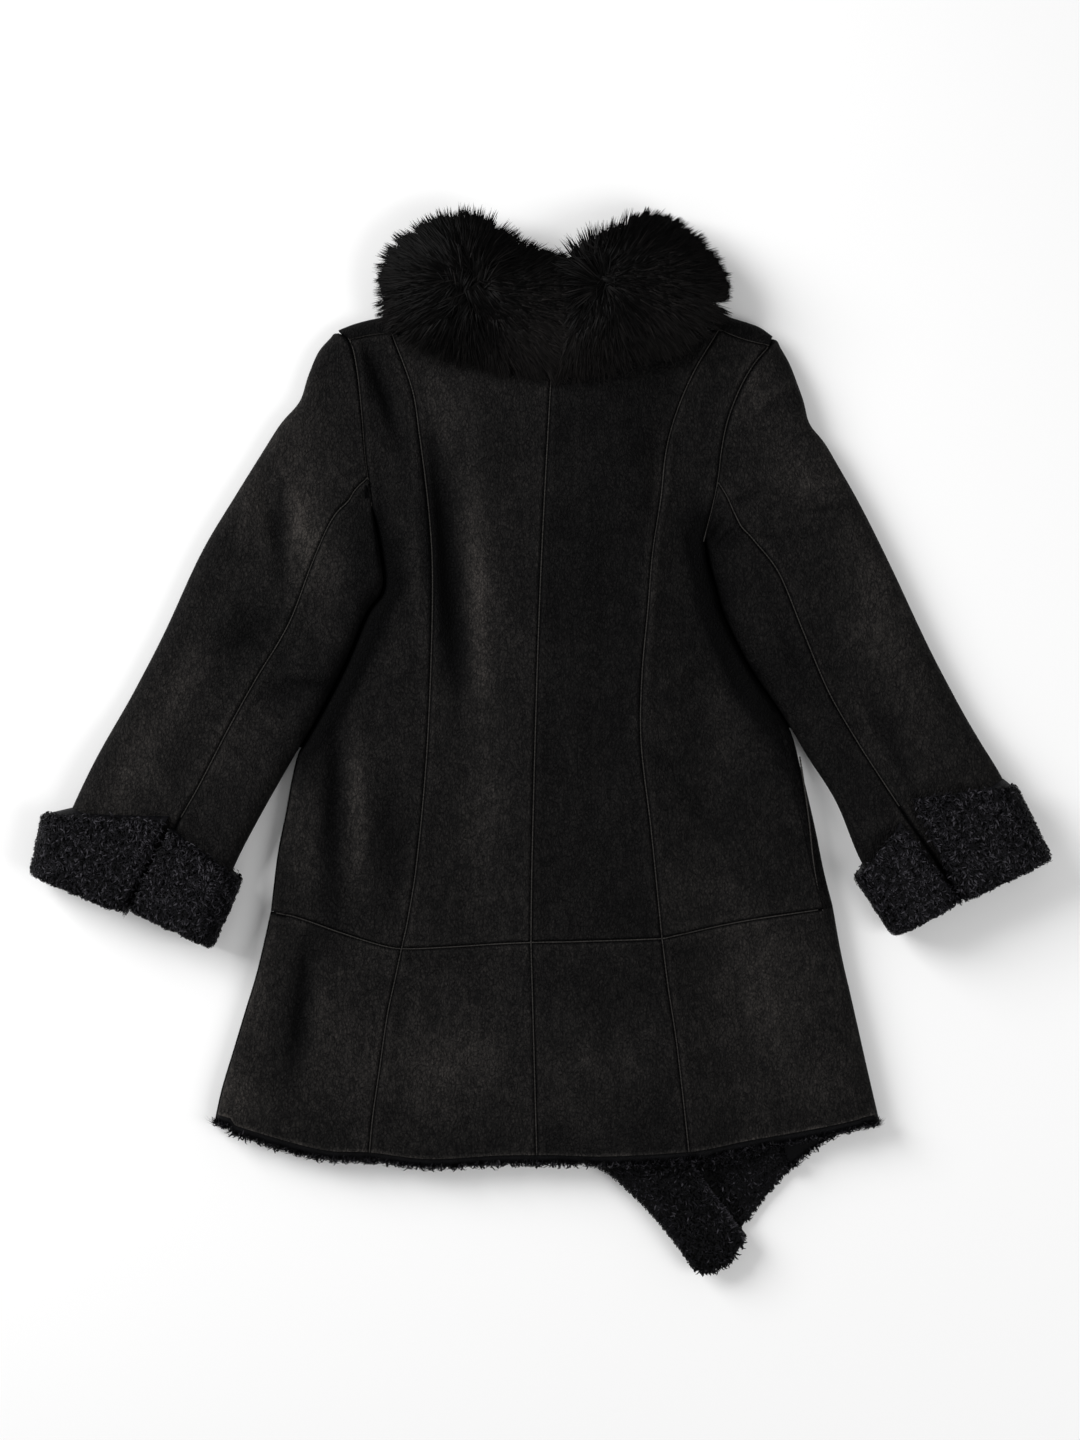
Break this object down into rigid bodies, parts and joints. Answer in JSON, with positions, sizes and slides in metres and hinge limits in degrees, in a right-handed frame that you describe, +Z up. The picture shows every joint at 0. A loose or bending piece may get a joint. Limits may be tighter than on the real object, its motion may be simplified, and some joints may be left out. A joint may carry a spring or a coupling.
{
  "type": "sheepskin coat",
  "caption": "Sheepskin coat laid flat with its back up: A-line body with curved seams, long sleeves with turned-back fleece cuffs and a full fur collar.",
  "frame": {"origin": "on the surface that the coat lies on, under the middle of its outline", "axes": "+Z up, out of the coat's back; +Y towards the collar; +X towards the wearer's right"},
  "size_m": [1.0182, 1.0606, 0.0776],
  "materials": {
    "suede": "napped suede, matt, mottled near-black",
    "wool": "short curled fleece, blue-black",
    "fur": "long glossy fur, black"
  },
  "bodies": {
    "root": {"back_centre_left": "suede", "back_side_left": "suede", "back_lower_centre_left": "suede", "back_lower_side_left": "suede", "front_centre_left": "suede", "front_side_left": "suede", "front_lower_centre_left": "suede", "front_lower_side_left": "suede", "upper_sleeve_left": "suede", "under_sleeve_left": "suede", "cuff_upper_left": "wool", "cuff_under_left": "wool", "collar_back_left": "fur", "collar_front_left": "fur", "back_centre_right": "suede", "back_side_right": "suede", "back_lower_centre_right": "suede", "back_lower_side_right": "suede", "front_centre_right": "suede", "front_side_right": "suede", "front_lower_centre_right": "suede", "front_lower_side_right": "suede", "upper_sleeve_right": "suede", "under_sleeve_right": "suede", "cuff_upper_right": "wool", "cuff_under_right": "wool", "collar_back_right": "fur", "collar_front_right": "fur"}
  },
  "joints": []
}
